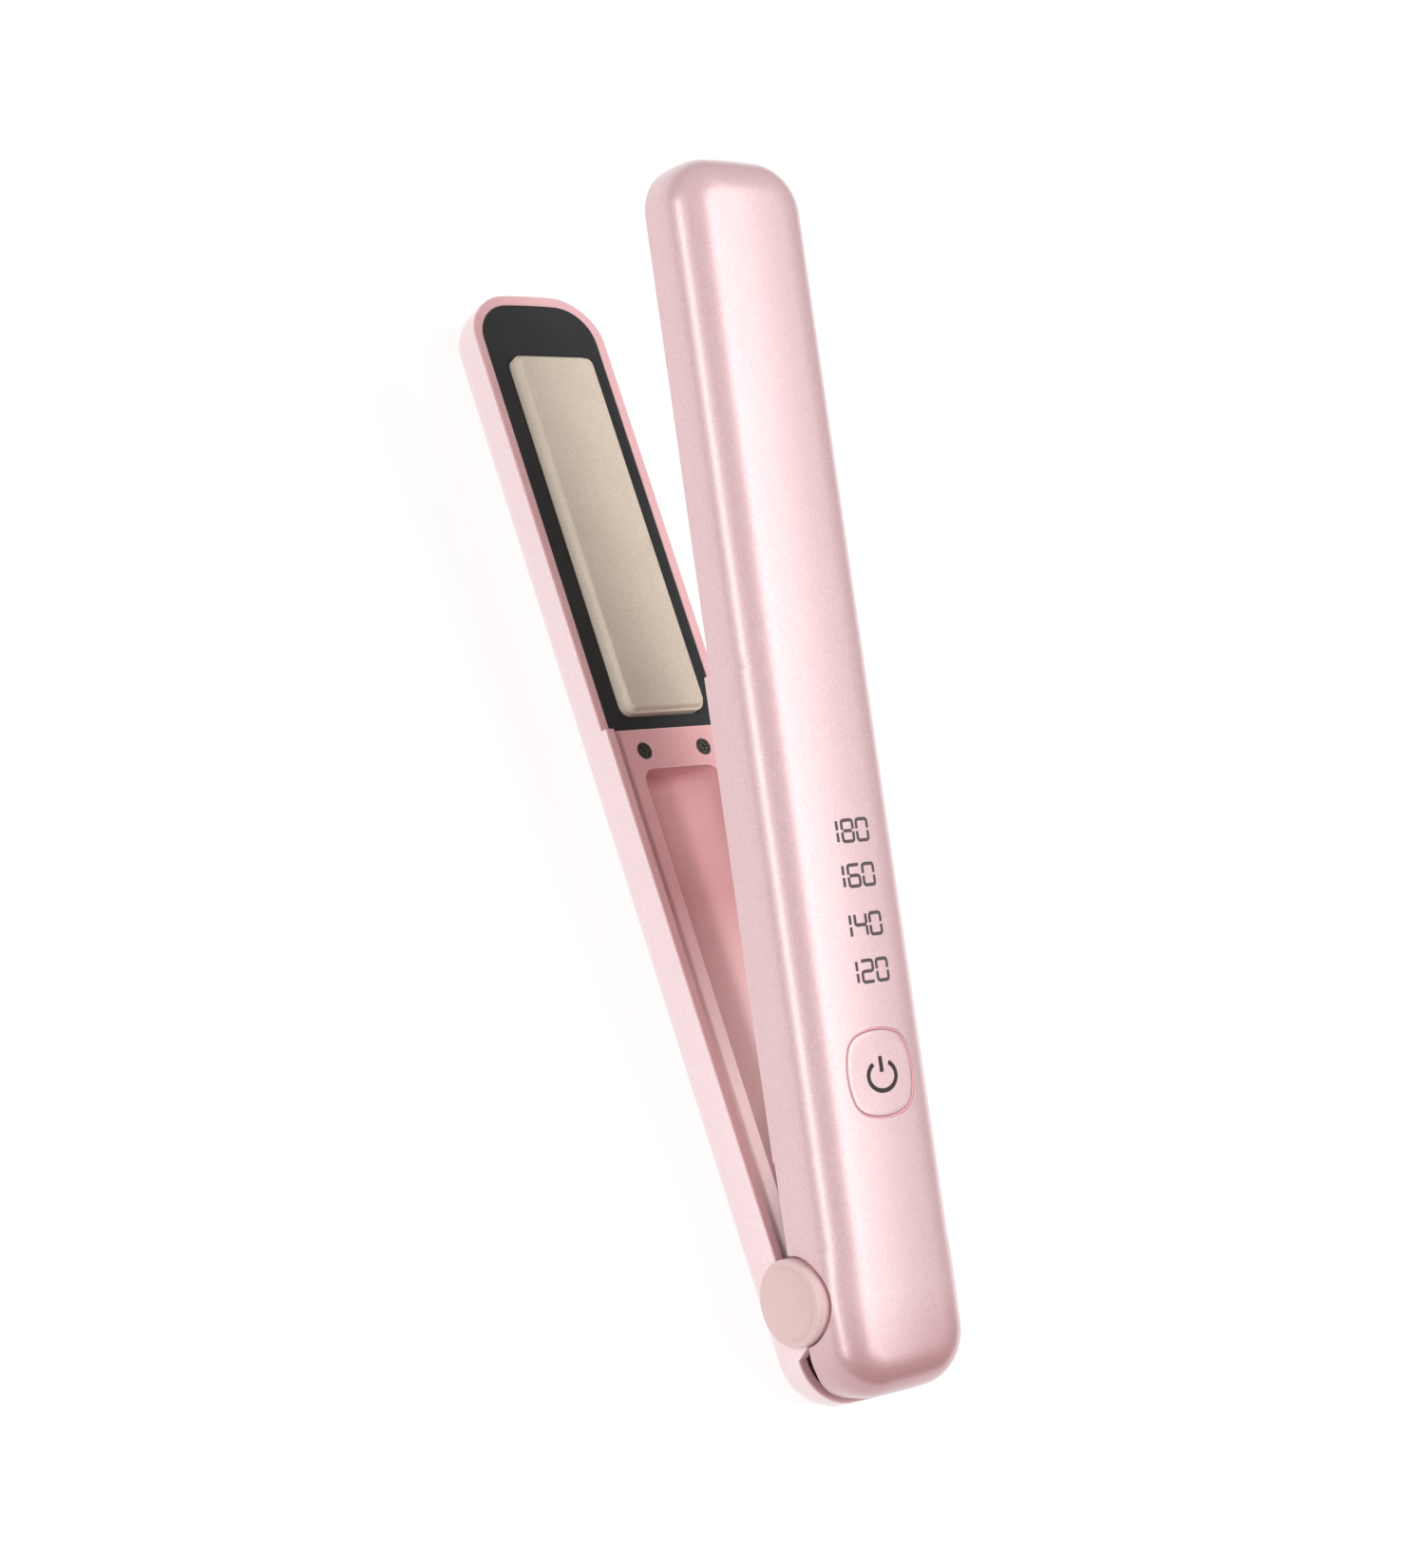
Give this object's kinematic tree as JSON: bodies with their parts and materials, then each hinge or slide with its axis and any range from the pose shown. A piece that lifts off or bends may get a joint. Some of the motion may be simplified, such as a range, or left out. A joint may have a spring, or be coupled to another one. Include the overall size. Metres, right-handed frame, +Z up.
{
  "type": "flat iron",
  "caption": "Small cordless hair straightener: two slim arms hinged at the heel, each with a floating heating plate, a square power button and a temperature display.",
  "frame": {"origin": "on the lower arm's rest face, midway across the arms and under the middle of the object's length", "axes": "+X along the lower arm from the hinge to the tip, +Y across the arms, +Z up; the arms are open at rest"},
  "size_m": [0.2006, 0.0314, 0.0697],
  "materials": {
    "pearl_shell": "pearlescent pale pink, satin gloss",
    "pink_cap": "fine matt pink",
    "pink_cover": "satin dusty pink",
    "charcoal_insert": "fine-grained heat-resistant polymer",
    "champagne_plate": "ceramic-coated, fine satin",
    "heater_ceramic": "fired alumina",
    "spring_steel": "plain rolled strip and wire",
    "pin_steel": "ground",
    "black_steel": "black oxide",
    "socket_steel": "drawn and nickel-plated",
    "bush_bronze": "sintered bronze",
    "grey_rubber": "high-temperature silicone",
    "seal_rubber": "dusty pink silicone",
    "hinge_nylon": "glass-filled nylon",
    "circuit_board": "green solder mask",
    "chip_black": "moulded epoxy",
    "lamp_white": "clear-topped lamp",
    "light_guide": "frosted acrylic",
    "cell_wrap": "metal can in a shrink sleeve",
    "nickel_strip": "spot-welded nickel",
    "foam_tape": "foam with adhesive",
    "wire_silicone": "silicone-sleeved copper",
    "mica_sheet": "pressed mica",
    "sensor_glass": "glass bead",
    "fuse_case": "glazed tube",
    "switch_black": "moulded nylon",
    "flat_cable": "flat flexible cable"
  },
  "bodies": {
    "lower_arm": {"lower_arm_shell": "pearl_shell", "lower_plate_insert": "charcoal_insert", "lower_float_pads": "grey_rubber", "lower_heat_shield": "mica_sheet", "lower_inner_cover": "pink_cover", "lower_cover_screws": "black_steel", "hinge_pin": "pin_steel", "right_hinge_cap": "pink_cap", "left_hinge_cap": "pink_cap", "torsion_spring": "spring_steel", "lower_heater_wires": "wire_silicone", "hinge_wire_loom": "wire_silicone"},
    "upper_arm": {"upper_arm_shell": "pearl_shell", "upper_plate_insert": "charcoal_insert", "upper_float_pads": "grey_rubber", "upper_heat_shield": "mica_sheet", "upper_inner_cover": "pink_cover", "upper_cover_screws": "black_steel", "button_seal": "seal_rubber", "tact_switch": "switch_black", "main_board": "circuit_board", "board_screws": "black_steel", "charge_board": "circuit_board", "board_link_cable": "flat_cable", "control_chips": "chip_black", "display_lamps": "lamp_white", "display_light_guide": "light_guide", "battery_cell": "cell_wrap", "battery_tabs": "nickel_strip", "battery_tape": "foam_tape", "usb_c_socket": "socket_steel", "usb_c_tongue": "switch_black", "hinge_bracket": "hinge_nylon", "hinge_bushes": "bush_bronze", "upper_heater_wires": "wire_silicone", "battery_leads": "wire_silicone"},
    "power_button": {"power_button": "pearl_shell", "switch_plunger": "switch_black"},
    "lower_plate": {"lower_heating_plate": "champagne_plate", "lower_ceramic_heater": "heater_ceramic", "lower_heater_clamp": "spring_steel", "lower_thermistor": "sensor_glass", "lower_thermal_fuse": "fuse_case"},
    "upper_plate": {"upper_heating_plate": "champagne_plate", "upper_ceramic_heater": "heater_ceramic", "upper_heater_clamp": "spring_steel", "upper_thermistor": "sensor_glass", "upper_thermal_fuse": "fuse_case"}
  },
  "joints": [
    {"name": "arm_hinge", "type": "hinge", "parent": "lower_arm", "child": "upper_arm", "pos_m": [-0.08295, 0, 0.0125], "axis": [0, 1, 0], "range_deg": [0, 15.3], "stiffness_Nm_per_rad": 0.25, "springref_deg": -28.65, "deforming": ["torsion_spring", "hinge_wire_loom"]},
    {"name": "button_press", "type": "slide", "parent": "upper_arm", "child": "power_button", "axis": [0.2639, 0, -0.9646], "range_m": [0, 0.0004], "stiffness_N_per_m": 2000, "springref_m": -0.0006},
    {"name": "lower_plate_float", "type": "slide", "parent": "lower_arm", "child": "lower_plate", "axis": [0, 0, -1], "range_m": [0, 0.0006], "stiffness_N_per_m": 8000, "springref_m": -0.0005, "deforming": ["lower_float_pads", "lower_heater_wires"]},
    {"name": "upper_plate_float", "type": "slide", "parent": "upper_arm", "child": "upper_plate", "axis": [-0.2639, 0, 0.9646], "range_m": [0, 0.0006], "stiffness_N_per_m": 8000, "springref_m": -0.0005, "deforming": ["upper_float_pads", "upper_heater_wires"]}
  ]
}
